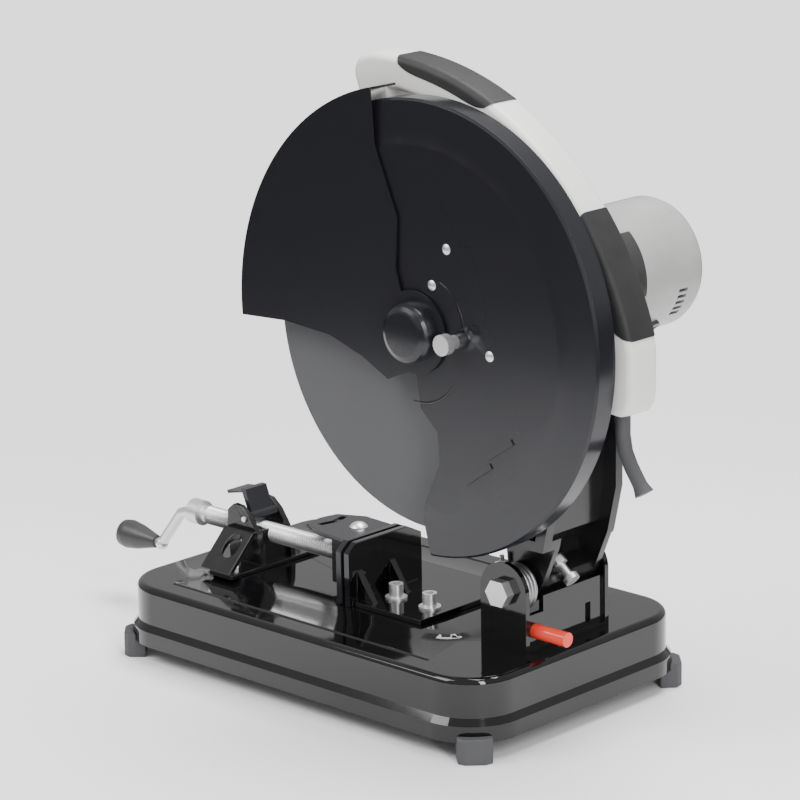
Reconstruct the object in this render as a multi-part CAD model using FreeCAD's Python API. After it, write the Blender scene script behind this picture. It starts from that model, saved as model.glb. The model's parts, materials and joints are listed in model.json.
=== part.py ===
import FreeCAD, Part
import math
import os

V = FreeCAD.Vector

# Overall sizes, mm
BASE_L = 448.0
BASE_W = 282.0
BASE_R = 48.0
BASE_TOP = 72.0
SHOULDER_TOP = 37.0
SHOULDER_LOW = 31.0
SHOULDER_STEP = 4.4
SKIRT_LOW = 16.5
SHEET = 2.5
PLAT_H = 4.0
PLAT_X0 = -187.0
PLAT_X1 = 138.0
PLAT_HALF_W = 82.0
DISC_D = 355.0
DISC_T = 3.2
DISC_BORE_R = 12.7
SPIN_X = 118.5
SPIN_Z = 351.0
DISC_Y = -75.0
PIVOT_X = 178.0
PIVOT_Z = 124.0
PIVOT_R = 8.0
MOTOR_X = 171.0
MOTOR_Z = 377.0
MOTOR_R = 58.0
MOTOR_Y0 = -8.0
MOTOR_Y1 = 140.0
CAP_Y1 = 163.0
GUARD_R = 197.0
GUARD_FRONT = -94.0
GUARD_BACK = -68.5
MOVE_R = 208.0
FENCE_X = 8.0
FENCE_T = 6.0
FENCE_Y0 = -69.0
FENCE_Y1 = 25.0
FENCE_TOP = 134.0
VISE_Y = -22.0
VISE_Z = 106.0
SCREW_R = 9.0
GRIP_CX = 47.0
GRIP_CZ = 288.0
GRIP_R = 288.0
GRIP_IN = 258.0
GRIP_Y0 = -62.0
GRIP_Y1 = -26.0
GRIP_SPLIT = -44.0
WALL = 3.0
# Clearances, mm
RUN = 0.05
LOOSE = 0.4
FLOOR = BASE_TOP + PLAT_H
GEAR_TEETH = 54
PINION_TEETH = 12
CENTRES = math.hypot(MOTOR_X - SPIN_X, MOTOR_Z - SPIN_Z)
MODULE = 2.0 * CENTRES / (GEAR_TEETH + PINION_TEETH)
MESH_ANGLE = math.atan2(MOTOR_Z - SPIN_Z, MOTOR_X - SPIN_X)
LOCK_Y = -39.0
LOCK_Z = 90.0

NODES = {}


def box(x0, x1, y0, y1, z0, z1):
    return Part.makeBox(x1 - x0, y1 - y0, z1 - z0, V(x0, y0, z0))


def rod(p, d, r, length):
    return Part.makeCylinder(r, length, V(*p), V(*d))


def rod_y(x, z, r, y0, y1):
    return rod((x, y0, z), (0, 1, 0), r, y1 - y0)


def ring_y(x, z, r1, r0, y0, y1):
    return rod_y(x, z, r1, y0, y1).cut(rod_y(x, z, r0, y0 - 1, y1 + 1))


def tube(p, d, r1, r0, length):
    return rod(p, d, r1, length).cut(rod(p, d, r0, length))


def join(shapes):
    out = shapes[0]
    for s in shapes[1:]:
        out = out.fuse(s)
    return out.removeSplitter()


def take(a, shapes):
    for s in shapes:
        a = a.cut(s)
    return a


def slab_y(points, y0, y1):
    pts = [V(x, y0, z) for x, z in points]
    face = Part.Face(Part.makePolygon(pts + pts[:1]))
    return face.extrude(V(0, y1 - y0, 0))


def slab_x(points, x0, x1):
    pts = [V(x0, y, z) for y, z in points]
    face = Part.Face(Part.makePolygon(pts + pts[:1]))
    return face.extrude(V(x1 - x0, 0, 0))


def slab_z(points, z0, z1):
    pts = [V(x, y, z0) for x, y in points]
    face = Part.Face(Part.makePolygon(pts + pts[:1]))
    return face.extrude(V(0, 0, z1 - z0))


def prism(p, d, flat, length, sides=6):
    """Bar of hexagonal section, measured across the flats."""
    r = flat / 2.0 / math.cos(math.pi / sides)
    pts = []
    for i in range(sides + 1):
        a = 2 * math.pi * i / sides
        pts.append(V(r * math.cos(a), r * math.sin(a), 0))
    bar = Part.Face(Part.makePolygon(pts)).extrude(V(0, 0, length))
    bar.Placement = FreeCAD.Placement(V(*p), FreeCAD.Rotation(V(0, 0, 1), V(*d)))
    return bar


def cap_head(p, d, r, height):
    """Domed head standing on p and rising along d."""
    ball = (r * r + height * height) / (2 * height)
    u = V(*d)
    u.normalize()
    base = V(*p)
    centre = base + u * (height - ball)
    dome = Part.makeSphere(ball, centre)
    return dome.common(Part.makeCylinder(r, height, base, u))


def plan_wire(length, width, radius, z, cx=0.0):
    hx = length / 2.0
    hy = width / 2.0
    k = radius * (1 - math.sqrt(0.5))
    edges = []
    corners = [(1, 1), (-1, 1), (-1, -1), (1, -1)]
    for i, (sx, sy) in enumerate(corners):
        a = V(cx + sx * hx, sy * (hy - radius), z)
        b = V(cx + sx * (hx - radius), sy * hy, z)
        m = V(cx + sx * (hx - k), sy * (hy - k), z)
        start, end = (a, b) if i % 2 == 0 else (b, a)
        edges.append(Part.Arc(start, m, end).toShape())
        nx, ny = corners[(i + 1) % 4]
        c = V(cx + nx * (hx - radius), ny * hy, z)
        if i % 2 == 1:
            c = V(cx + nx * hx, ny * (hy - radius), z)
        edges.append(Part.makeLine(end, c))
    return Part.Wire(edges)


def stack(levels, cx=0.0):
    """Loft through rounded rectangles given as (length, width, radius, z)."""
    wires = [plan_wire(a, b, r, z, cx) for a, b, r, z in levels]
    return Part.makeLoft(wires, True, True)


def at(cx, cz, r, deg):
    a = math.radians(deg)
    return cx + r * math.cos(a), cz + r * math.sin(a)


def band(cx, cz, r0, r1, a0, a1, y0, y1):
    """Part of a ring about a Y axis, between two angles in degrees."""
    def arc(r, s, e):
        pts = []
        for k in (s, (s + e) / 2.0, e):
            x, z = at(cx, cz, r, k)
            pts.append(V(x, y0, z))
        return Part.Arc(*pts).toShape()
    outer = arc(r1, a0, a1)
    inner = arc(r0, a1, a0)
    x1, z1 = at(cx, cz, r1, a1)
    x2, z2 = at(cx, cz, r0, a1)
    x3, z3 = at(cx, cz, r0, a0)
    x4, z4 = at(cx, cz, r1, a0)
    l1 = Part.makeLine(V(x1, y0, z1), V(x2, y0, z2))
    l2 = Part.makeLine(V(x3, y0, z3), V(x4, y0, z4))
    face = Part.Face(Part.Wire([outer, l1, inner, l2]))
    return face.extrude(V(0, y1 - y0, 0))


def turned(profile, cx, cz, a0=0.0, sweep=360.0):
    """Revolve a closed (radius, y) profile about the Y axis through cx, cz."""
    a = math.radians(a0)
    pts = [V(cx + r * math.cos(a), y, cz + r * math.sin(a)) for r, y in profile]
    face = Part.Face(Part.makePolygon(pts + pts[:1]))
    return face.revolve(V(cx, 0, cz), V(0, -1, 0), sweep)


def pan_levels(inset):
    wide = 2 * (SHOULDER_STEP - inset)
    slim = -2 * inset
    return [
        (BASE_L + wide, BASE_W + wide, BASE_R + wide / 2, SKIRT_LOW),
        (BASE_L + wide, BASE_W + wide, BASE_R + wide / 2, SHOULDER_LOW),
        (BASE_L + slim, BASE_W + slim, BASE_R + slim / 2, SHOULDER_TOP),
        (BASE_L + slim, BASE_W + slim, BASE_R + slim / 2, BASE_TOP - inset),
    ]


def rounded_top(shape, z, radius):
    edges = []
    for e in shape.Edges:
        if all(abs(v.Point.z - z) < 1e-4 for v in e.Vertexes):
            edges.append(e)
    return shape.makeFillet(radius, edges)


def plateau(inset, z):
    cx = (PLAT_X0 + PLAT_X1) / 2.0
    length = PLAT_X1 - PLAT_X0
    width = 2 * PLAT_HALF_W
    low = (length - 2 * inset, width - 2 * inset, 34.0 - inset, z)
    mid = (length - 16 - 2 * inset, width - 16 - 2 * inset, 26.0 - inset, z + PLAT_H)
    return stack([low, mid], cx)


def bead(y):
    r = 3.0
    bar = rod((-170, y, BASE_TOP - 2.0), (1, 0, 0), r, 316.0)
    ends = [Part.makeSphere(r, V(x, y, BASE_TOP - 2.0)) for x in (-170, 146)]
    solid = join([bar] + ends)
    return solid.common(box(-200, 200, y - 5, y + 5, BASE_TOP - SHEET / 2, BASE_TOP + 3))


FENCE_BOLTS = [(31.0, -33.0), (72.0, -33.0)]
NUT_BOLTS = [(-150.0, -62.0), (-150.0, 18.0)]
BRACKET_BOLTS = [(162.0, -36.0), (162.0, 37.0), (188.0, 5.0)]


def base_pan():
    outer = rounded_top(stack(pan_levels(0.0)), BASE_TOP, 6.0)
    inner = rounded_top(stack(pan_levels(SHEET)), BASE_TOP - SHEET, 3.5)
    shell = outer.fuse(plateau(0.0, BASE_TOP)).fuse(bead(-116.0)).fuse(bead(116.0))
    shell = take(shell, [inner, plateau(SHEET, BASE_TOP - SHEET)])
    for x, y in FENCE_BOLTS + NUT_BOLTS:
        shell = shell.cut(rod((x, y, 60), (0, 0, 1), 4.2, 30))
    for x, y in BRACKET_BOLTS:
        shell = shell.cut(rod((x, y, 60), (0, 0, 1), 4.2, 30))
    dimple = Part.makeSphere(12.0, V(-172.0, -108.0, BASE_TOP + 11.2))
    return shell.cut(dimple).removeSplitter()


def rubber_feet():
    feet = []
    pan = base_pan()
    for sx in (1, -1):
        for sy in (1, -1):
            cx = sx * (BASE_L / 2 - BASE_R)
            cy = sy * (BASE_W / 2 - BASE_R)
            reach = BASE_R + SHOULDER_STEP + 9.0
            plan = [(reach - 20, -16), (reach - 4, -15), (reach, -9), (reach, 9),
                    (reach - 4, 15), (reach - 20, 16)]
            foot = slab_z(plan, 0.0, 23.0)
            top = slab_x([(-20, 23.5), (20, 23.5), (20, 30), (-20, 30)], 0, 90)
            foot = foot.cut(top)
            turn = math.degrees(math.atan2(sy, sx))
            foot.rotate(V(0, 0, 0), V(0, 0, 1), turn)
            foot.translate(V(cx, cy, 0))
            foot = foot.cut(pan)
            feet.append(foot.Solids[0] if len(foot.Solids) == 1 else foot)
    return Part.makeCompound(feet)


def pivot_bracket():
    ear = [(152, FLOOR - 4), (204, FLOOR - 4), (204, 124), (152, 124)]
    near = join([slab_y(ear, -54, -49), rod_y(PIVOT_X, PIVOT_Z, 26, -54, -49)])
    far = join([slab_y(ear, 50, 55), rod_y(PIVOT_X, PIVOT_Z, 26, 50, 55)])
    pan = box(152, 204, -54, 55, BASE_TOP, BASE_TOP + 4)
    web_outline = [(-54, 74), (55, 74), (55, 112), (47, 119), (-54, 119)]
    web = slab_x(web_outline, 196, 201)
    web = web.cut(box(195, 202, -48.8, -28.2, 105, 121)).cut(box(195, 202, 27, 34, 80, 98))
    body = join([near, far, pan, web])
    body = body.cut(rod_y(PIVOT_X, PIVOT_Z, PIVOT_R, -60, 60))
    body = body.cut(rod((190, LOCK_Y, LOCK_Z), (1, 0, 0), 6.5 + 2 * RUN, 20))
    for x, y in BRACKET_BOLTS:
        body = body.cut(rod((x, y, 60), (0, 0, 1), 4.2, 30))
    return body


def hex_bolts(spots, z_seat, z_low, flat, high):
    out = []
    for x, y in spots:
        head = prism((x, y, z_seat), (0, 0, 1), flat, high)
        shank = rod((x, y, z_low), (0, 0, 1), 4.0, z_seat - z_low)
        out.append(head.fuse(shank).removeSplitter())
    return Part.makeCompound(out)


def nuts(spots, z_top, flat, high):
    out = []
    for x, y in spots:
        nut = prism((x, y, z_top - high), (0, 0, 1), flat, high)
        out.append(nut.cut(rod((x, y, z_top - high - 1), (0, 0, 1), 4.0, high + 2)))
    return Part.makeCompound(out)


def pivot_shaft():
    shaft = rod_y(PIVOT_X, PIVOT_Z, PIVOT_R, -54, 66)
    head = prism((PIVOT_X, -63, PIVOT_Z), (0, 1, 0), 22, 9)
    return join([shaft, head])


def pivot_nut():
    nut = prism((PIVOT_X, 55, PIVOT_Z), (0, 1, 0), 22, 9)
    return nut.cut(rod_y(PIVOT_X, PIVOT_Z, PIVOT_R, 50, 70))


def torsion_spring():
    """Close-wound coil round the pivot with one leg down and one leg up."""
    wire_r = 2.2
    coil_r = 19.0
    pitch = 4.2
    parts = []
    for k in range(4):
        y = -46.4 + k * pitch
        parts.append(Part.makeTorus(coil_r, wire_r, V(PIVOT_X, y, PIVOT_Z), V(0, 1, 0)))
    low_y = -46.4
    high_y = -46.4 + 3 * pitch
    parts.append(rod((PIVOT_X - coil_r, low_y, PIVOT_Z - 26), (0, 0, 1), wire_r, 26))
    parts.append(rod((PIVOT_X - coil_r, high_y, PIVOT_Z), (0, 0, 1), wire_r, 24))
    return join(parts)


def fence_plate():
    outline = [(FENCE_Y0, FLOOR), (FENCE_Y1, FLOOR), (FENCE_Y1, FENCE_TOP - 9),
               (FENCE_Y1 - 18, FENCE_TOP), (FENCE_Y0 + 10, FENCE_TOP), (FENCE_Y0, FENCE_TOP - 8)]
    upright = slab_x(outline, FENCE_X - FENCE_T, FENCE_X)
    foot = box(FENCE_X - FENCE_T, 90, FENCE_Y0 + 4, FENCE_Y1 - 6, FLOOR, FLOOR + 5)
    gussets = []
    for y in (-56.0, -14.0):
        tri = slab_y([(FENCE_X, FLOOR + 5), (FENCE_X + 20, FLOOR + 5), (FENCE_X, FLOOR + 32)], y - 3, y + 3)
        gussets.append(tri)
    body = join([upright, foot] + gussets)
    for x, y in FENCE_BOLTS:
        body = body.cut(rod((x, y, 60), (0, 0, 1), 4.2, 40))
    return body


def fence_washers():
    out = []
    for x, y in FENCE_BOLTS:
        out.append(tube((x, y, FLOOR + 5), (0, 0, 1), 10.0, 4.2, 2.0))
    return Part.makeCompound(out)


def fence_bolts():
    out = []
    for x, y in FENCE_BOLTS:
        head = rod((x, y, FLOOR + 7), (0, 0, 1), 6.5, 12)
        head = head.cut(prism((x, y, FLOOR + 13), (0, 0, 1), 7.0, 7))
        out.append(head.fuse(rod((x, y, 58), (0, 0, 1), 4.0, FLOOR + 7 - 58)).removeSplitter())
    return Part.makeCompound(out)


def screw_bracket():
    foot = box(-172, -128, -84, 30, FLOOR, FLOOR + 4)
    foot = foot.cut(slab_z([(-172, -84), (-158, -84), (-172, -60)], 60, 100))
    profile = [(-172, FLOOR + 4), (-130, FLOOR + 4), (-131, 96), (-136, 110), (-146, 124), (-156, 132),
               (-166, 133), (-174, 126), (-175, 108)]
    near = slab_y(profile, VISE_Y - 22, VISE_Y - 16)
    far = slab_y(profile, VISE_Y + 16, VISE_Y + 22)
    saddle = box(-168, -134, VISE_Y - 16, VISE_Y + 16, FLOOR + 4, 112)
    lean = slab_x([(-82, FLOOR + 4), (-76, FLOOR + 4), (-44, 112), (-50, 112)], -172, -134)
    body = join([foot, near, far, saddle, lean])
    body = body.cut(rod((-200, VISE_Y, VISE_Z), (1, 0, 0), SCREW_R + RUN, 120))
    for x, y in NUT_BOLTS:
        body = body.cut(rod((x, y, 60), (0, 0, 1), 4.2, 24))
    clear = rod((NUT_BOLTS[0][0], NUT_BOLTS[0][1], FLOOR + 4), (0, 0, 1), 9.0, 40)
    return body.cut(clear)


def nut_lever():
    pin_x = -151.0
    pin_z = 121.0
    hub = rod_y(pin_x, pin_z, 5.5, VISE_Y - 15.5, VISE_Y + 15.5)
    blade = slab_y([(-153.5, 121), (-148.5, 121), (-158, 146), (-164, 146)], VISE_Y - 13.5, VISE_Y + 13.5)
    lip = slab_y([(-164, 143), (-160, 143), (-182, 138), (-183, 141)], VISE_Y - 13.5, VISE_Y + 13.5)
    body = join([hub, blade, lip])
    return body.cut(rod_y(pin_x, pin_z, 2.5 + RUN, VISE_Y - 30, VISE_Y + 30))


def nut_lever_pin():
    return rod_y(-151.0, 121.0, 2.5, VISE_Y - 24, VISE_Y + 24)


def vise_screw():
    x0 = -244.0
    x1 = -30.0
    core = rod((x0, VISE_Y, VISE_Z), (1, 0, 0), SCREW_R - 1.2, x1 - x0)
    ribs = []
    count = 59
    for i in range(count):
        x = -222.0 + i * 3.0
        cone_a = Part.makeCone(SCREW_R - 1.2, SCREW_R, 1.2, V(x, VISE_Y, VISE_Z), V(1, 0, 0))
        cone_b = Part.makeCone(SCREW_R, SCREW_R - 1.2, 1.2, V(x + 1.2, VISE_Y, VISE_Z), V(1, 0, 0))
        ribs.append(cone_a.fuse(cone_b))
    collar = rod((x0, VISE_Y, VISE_Z), (1, 0, 0), 12.0, 14.0)
    return core.multiFuse(ribs + [collar]).removeSplitter()


CRANK_X = -291.0
CRANK_Z = 64.0


def crank_handle():
    start = V(-244.0, VISE_Y, VISE_Z)
    bend = V(-262.0, VISE_Y, VISE_Z - 6)
    low = V(CRANK_X, VISE_Y, CRANK_Z)
    out = []
    for a, b in ((start, bend), (bend, low)):
        d = b - a
        out.append(Part.makeCylinder(5.0, d.Length, a, d))
    out.append(Part.makeSphere(5.0, bend))
    out.append(Part.makeSphere(6.5, low))
    out.append(rod((CRANK_X - 47, VISE_Y, CRANK_Z), (1, 0, 0), 3.5, 47))
    return join(out).common(box(-400, -244, -100, 100, 0, 200))


def crank_knob():
    pts = [(3.5 + RUN, -298), (6, -298), (8, -306), (12, -322), (14, -336), (13, -343), (9, -346), (3.5 + RUN, -346)]
    line = [V(x, VISE_Y + r, CRANK_Z) for r, x in pts]
    face = Part.Face(Part.makePolygon(line + line[:1]))
    knob = face.revolve(V(0, VISE_Y, CRANK_Z), V(1, 0, 0), 360)
    lid = rod((-346, VISE_Y, CRANK_Z), (1, 0, 0), 8.0, 7.0)
    return knob.fuse(lid).removeSplitter()


def jaw_block():
    block = slab_z([(-40, -42), (-14, -46), (-14, 2), (-40, -2)], FLOOR + 8, 128)
    body = block.cut(rod((-44, VISE_Y, VISE_Z), (1, 0, 0), SCREW_R - 1.2 + RUN, 14.2))
    return body.cut(rod((-27, -20, 116), (0, 0, 1), 5.0, 20))


def jaw_plate():
    outline = [(FENCE_Y0, FLOOR + 1), (FENCE_Y1, FLOOR + 1), (FENCE_Y1, FENCE_TOP - 9),
               (FENCE_Y1 - 18, FENCE_TOP), (FENCE_Y0 + 10, FENCE_TOP), (FENCE_Y0, FENCE_TOP - 8)]
    plate = slab_x(outline, -8, -2)
    top = slab_z([(-8, FENCE_Y0 + 12), (-8, FENCE_Y1 - 20), (-44, 8), (-70, -4), (-74, -22),
                  (-70, -44), (-44, -54)], 129, 133)
    body = join([plate, top])
    body = body.cut(rod((-27, -20, 100), (0, 0, 1), 5.0 + RUN, 60))
    body = body.cut(slab_z([(-62, -38), (-56, -38), (-52, -22), (-56, -6), (-62, -6), (-58, -22)], 120, 140))
    return body


def jaw_pin():
    shank = rod((-27, -20, 116), (0, 0, 1), 5.0, 17.3)
    head = cap_head((-27, -20, 133.3), (0, 0, 1), 8.5, 4.5)
    return shank.fuse(head).removeSplitter()


def lock_pin():
    return rod((180, LOCK_Y, LOCK_Z), (1, 0, 0), 4.0, 52)


def lock_pin_sleeve():
    sleeve = tube((194, LOCK_Y, LOCK_Z), (1, 0, 0), 6.5, 4.0, 41)
    end = rod((232, LOCK_Y, LOCK_Z), (1, 0, 0), 6.5, 6)
    return sleeve.fuse(end).removeSplitter()


def gear(cx, cz, y0, y1, teeth, add, ded, centre_deg, thin):
    """Spur gear with involute flanks and one tooth centred on centre_deg."""
    pressure = math.radians(25.0)
    rp = MODULE * teeth / 2.0
    rb = rp * math.cos(pressure)
    rt = rp + add * MODULE
    rr = rp - ded * MODULE
    inv_p = math.tan(pressure) - pressure
    half = math.pi / (2 * teeth) - thin / (2 * rp)
    pts = []
    for k in range(teeth):
        mid = math.radians(centre_deg) + 2 * math.pi * k / teeth
        flank = []
        steps = 5
        r_low = max(rb, rr)
        for i in range(steps + 1):
            r = r_low + (rt - r_low) * i / steps
            ap = math.acos(min(1.0, rb / r))
            flank.append((r, half + inv_p - (math.tan(ap) - ap)))
        if rr < rb:
            flank = [(rr, flank[0][1])] + flank
        for r, a in flank:
            pts.append((cx + r * math.cos(mid - a), cz + r * math.sin(mid - a)))
        for r, a in reversed(flank):
            pts.append((cx + r * math.cos(mid + a), cz + r * math.sin(mid + a)))
    return slab_y(pts, y0, y1)


def gear_wheel():
    to_pinion = math.degrees(MESH_ANGLE)
    body = gear(SPIN_X, SPIN_Z, -44, -32, GEAR_TEETH, 0.7, 1.05, to_pinion + 180.0 / GEAR_TEETH, 0.14)
    body = body.cut(rod_y(SPIN_X, SPIN_Z, 10, -50, -20))
    body = body.cut(ring_y(SPIN_X, SPIN_Z, 38, 18, -45, -41))
    return body


def pinion():
    to_gear = math.degrees(MESH_ANGLE) + 180.0
    body = gear(MOTOR_X, MOTOR_Z, -46, -30, PINION_TEETH, 0.8, 0.95, to_gear, 0.14)
    return body.cut(rod_y(MOTOR_X, MOTOR_Z, 6, -50, -20))


def case_outline(y0, y1, grow=0.0):
    a = rod_y(SPIN_X, SPIN_Z, 58.0 + grow, y0, y1)
    b = rod_y(MOTOR_X, MOTOR_Z, 58.0 + grow, y0, y1)
    ux = math.cos(MESH_ANGLE)
    uz = math.sin(MESH_ANGLE)
    r = 58.0 + grow
    quad = [(SPIN_X - uz * r, SPIN_Z + ux * r), (SPIN_X + uz * r, SPIN_Z - ux * r),
            (MOTOR_X + uz * r, MOTOR_Z - ux * r), (MOTOR_X - uz * r, MOTOR_Z + ux * r)]
    return join([a, b, slab_y(quad, y0, y1)])


CASE_Y0 = GUARD_BACK
CASE_SPLIT = -24.0


def gear_case():
    foot = box(96, 214, CASE_Y0, CASE_SPLIT, 290, 345)
    body = join([case_outline(CASE_Y0, CASE_SPLIT), foot])
    body = body.cut(rod_y(SPIN_X, SPIN_Z, 50.5, -54, CASE_SPLIT))
    body = body.cut(rod_y(MOTOR_X, MOTOR_Z, 15, -54, CASE_SPLIT))
    body = body.cut(rod_y(SPIN_X, SPIN_Z, 20, -66, -54))
    body = body.cut(rod_y(SPIN_X, SPIN_Z, 13, -70, -60))
    return body


def gear_cover():
    foot = box(96, 214, CASE_SPLIT, MOTOR_Y0, 290, 345)
    body = join([case_outline(CASE_SPLIT, MOTOR_Y0), foot])
    body = body.cut(rod_y(SPIN_X, SPIN_Z, 16, CASE_SPLIT, -14))
    body = body.cut(rod_y(MOTOR_X, MOTOR_Z, 16, CASE_SPLIT, -12))
    body = body.cut(rod_y(MOTOR_X, MOTOR_Z, 10, CASE_SPLIT, 0))
    return body


def spindle():
    nose = rod_y(SPIN_X, SPIN_Z, DISC_BORE_R, DISC_Y - DISC_T / 2, DISC_Y + DISC_T / 2)
    neck = rod_y(SPIN_X, SPIN_Z, 10, DISC_Y + DISC_T / 2, -14.5)
    body = join([nose, neck])
    return body.cut(rod_y(SPIN_X, SPIN_Z, 5, -80, -50))


def spindle_bearings():
    front = ring_y(SPIN_X, SPIN_Z, 20, 10 + RUN, -66, -54)
    rear = ring_y(SPIN_X, SPIN_Z, 16, 10 + RUN, CASE_SPLIT, -15)
    return Part.makeCompound([front, rear])


def inner_flange():
    y1 = -69.5
    y0 = DISC_Y + DISC_T / 2
    return ring_y(SPIN_X, SPIN_Z, 27, 10, y0, y1)


def outer_flange():
    y1 = DISC_Y - DISC_T / 2
    return ring_y(SPIN_X, SPIN_Z, 27, 5, y1 - 5, y1)


def clamp_bolt():
    y1 = DISC_Y - DISC_T / 2 - 5
    head = prism((SPIN_X, y1 - 7, SPIN_Z), (0, 1, 0), 17, 7)
    return join([head, rod_y(SPIN_X, SPIN_Z, 5, y1, -52)])


def cutting_disc():
    y0 = DISC_Y - DISC_T / 2
    return ring_y(SPIN_X, SPIN_Z, DISC_D / 2, DISC_BORE_R, y0, y0 + DISC_T)


def armature():
    core = rod_y(MOTOR_X, MOTOR_Z, 28, 24, 82)
    slots = []
    for i in range(12):
        s = box(MOTOR_X + 20, MOTOR_X + 30, 22, 84, MOTOR_Z - 1.5, MOTOR_Z + 1.5)
        s.rotate(V(MOTOR_X, 0, MOTOR_Z), V(0, 1, 0), 30.0 * i)
        slots.append(s)
    shaft = rod_y(MOTOR_X, MOTOR_Z, 6, -46, 146)
    return join([take(core, slots), shaft])


def commutator():
    return ring_y(MOTOR_X, MOTOR_Z, 16, 6, 95, 118)


def cooling_fan():
    hub = ring_y(MOTOR_X, MOTOR_Z, 14, 6, 0, 14)
    plate = ring_y(MOTOR_X, MOTOR_Z, 44, 10, 0, 2)
    blades = []
    for i in range(14):
        b = box(MOTOR_X + 12, MOTOR_X + 43, 1, 13, MOTOR_Z - 0.8, MOTOR_Z + 0.8)
        b.rotate(V(MOTOR_X, 0, MOTOR_Z), V(0, 1, 0), 360.0 * i / 14)
        blades.append(b)
    return hub.multiFuse([plate] + blades).removeSplitter()


def motor_bearings():
    front = ring_y(MOTOR_X, MOTOR_Z, 16, 6 + RUN, -22, -12)
    rear = ring_y(MOTOR_X, MOTOR_Z, 13, 6 + RUN, 136, 146)
    return Part.makeCompound([front, rear])


def field_stator():
    body = ring_y(MOTOR_X, MOTOR_Z, MOTOR_R - 4, 29.5, 20, 85)
    for s in (1, -1):
        z = MOTOR_Z + s * 40.0
        body = body.cut(box(MOTOR_X - 14, MOTOR_X + 14, 10, 90, z - 6, z + 6))
    return body


BRUSH_ANGLES = (-50.0, 130.0)


def motor_housing():
    body = ring_y(MOTOR_X, MOTOR_Z, MOTOR_R, MOTOR_R - 4, MOTOR_Y0, MOTOR_Y1)
    for a in BRUSH_ANGLES:
        c = rod((MOTOR_X, 106, MOTOR_Z), (math.cos(math.radians(a)), 0, math.sin(math.radians(a))), 8.0, 80)
        body = body.cut(c)
    for a in (-8, -2, 4, 10, 16):
        x, z = at(MOTOR_X, MOTOR_Z, MOTOR_R, a - 30)
        body = body.cut(box(x - 8, x + 8, 122, 134, z - 1.5, z + 1.5))
    return body


def motor_end_cap():
    r = MOTOR_R
    outer = turned([(0, 136), (r - 4, 136), (r - 4, MOTOR_Y1), (r, MOTOR_Y1), (r, 149), (r - 2, 154), (r - 6, 158.5),
                    (r - 13, 161.5), (r - 22, CAP_Y1), (0, CAP_Y1)], MOTOR_X, MOTOR_Z)
    hollow = turned([(16, 140), (r - 6, 140), (r - 6, 149), (r - 10, 155), (16, 157)], MOTOR_X, MOTOR_Z)
    front = ring_y(MOTOR_X, MOTOR_Z, r - 6, 16, 135, 141)
    body = take(outer, [hollow, front])
    body = body.cut(rod_y(MOTOR_X, MOTOR_Z, 13, 130, 148))
    for i in range(10):
        s = box(MOTOR_X + 22, MOTOR_X + 40, 154, 170, MOTOR_Z - 1.6, MOTOR_Z + 1.6)
        s.rotate(V(MOTOR_X, 0, MOTOR_Z), V(0, 1, 0), 36.0 * i)
        body = body.cut(s)
    return body


def brushes():
    out = []
    for a in BRUSH_ANGLES:
        b = box(16 + LOOSE, 42, 103, 109, -3, 3)
        b.rotate(V(0, 0, 0), V(0, 1, 0), -a)
        b.translate(V(MOTOR_X, 0, MOTOR_Z))
        out.append(b)
    return Part.makeCompound(out)


def brush_caps():
    out = []
    for a in BRUSH_ANGLES:
        d = (math.cos(math.radians(a)), 0, math.sin(math.radians(a)))
        p = (MOTOR_X + d[0] * 42, 106, MOTOR_Z + d[2] * 42)
        cap = rod(p, d, 8.0, MOTOR_R + 3 - 42)
        slot = box(MOTOR_R + 2, MOTOR_R + 4, 100, 112, -1, 1)
        slot.rotate(V(0, 0, 0), V(0, 1, 0), -a)
        slot.translate(V(MOTOR_X, 0, MOTOR_Z))
        out.append(cap.cut(slot))
    return Part.makeCompound(out)


ARM_REAR = [(201, 131), (214.5, 163), (220, 187), (224, 205), (224, 241), (222, 270), (214, 290)]
ARM_FRONT = [(96, 290), (120, 250), (146, 200), (158, 170), (160, 145), (162, 121.5), (196, 121.5)]


def arm_casting():
    upper = slab_y(ARM_REAR + ARM_FRONT, -28, 50)
    upper = upper.common(box(0, 300, -100, 100, 120, 290))
    near = slab_y([(214.5, 163), (220, 187), (224, 205), (224, 241), (222, 270), (214, 290), (96, 290), (120, 250),
                   (146, 200), (157, 163)], -44, -28)
    hub = rod_y(PIVOT_X, PIVOT_Z, 17, -27, 48)
    lug = slab_y([(rot_lug(24, -7)), (rot_lug(40, -7)), (rot_lug(40, 7)), (rot_lug(24, 7))], -44, -27)
    stem = slab_y([rot_lug(12, -7), rot_lug(26, -7), rot_lug(26, 7), rot_lug(12, 7)], -27, -20)
    upper = upper.cut(box(140, 230, 48, 60, 100, 160))
    body = join([upper, near, hub, lug, stem, slab_y([rot_lug(12, -7), rot_lug(40, -7), rot_lug(40, 7),
                 rot_lug(12, 7)], -28, -20)])
    channel = slab_y([(205, 172), (208, 200), (211, 240), (209, 270), (240, 270), (240, 172)], -34, 41)
    pocket = slab_y([(166, 172), (206, 172), (214, 206), (214, 240), (210, 276), (124, 276), (136, 250),
                     (158, 206)], -45, -36)
    low = slab_y([(199, 120), (197, 132), (183, 142), (180, 152), (192, 164), (205, 172), (240, 172), (240, 120)],
                 -22, 41)
    body = take(body, [channel, pocket, low])
    body = body.fuse(stop_rod(10.0, 20.0, 38.0))
    body = body.cut(rod_y(PIVOT_X, PIVOT_Z, PIVOT_R + RUN, -60, 60))
    hole = rod(tuple(rot_point(170 - 26, LOCK_Y, LOCK_Z)), tuple(rot_dir()), 4.5, 60)
    body = take(body, [hole, stop_rod(4.0, -20, 40)])
    return body.cut(arm_bolts()).removeSplitter()


SWING = 40.0
LUG_REST = -143.0


def rot_lug(r, side):
    a = math.radians(LUG_REST)
    x = PIVOT_X + r * math.cos(a) - side * math.sin(a)
    z = PIVOT_Z + r * math.sin(a) + side * math.cos(a)
    return x, z


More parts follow.
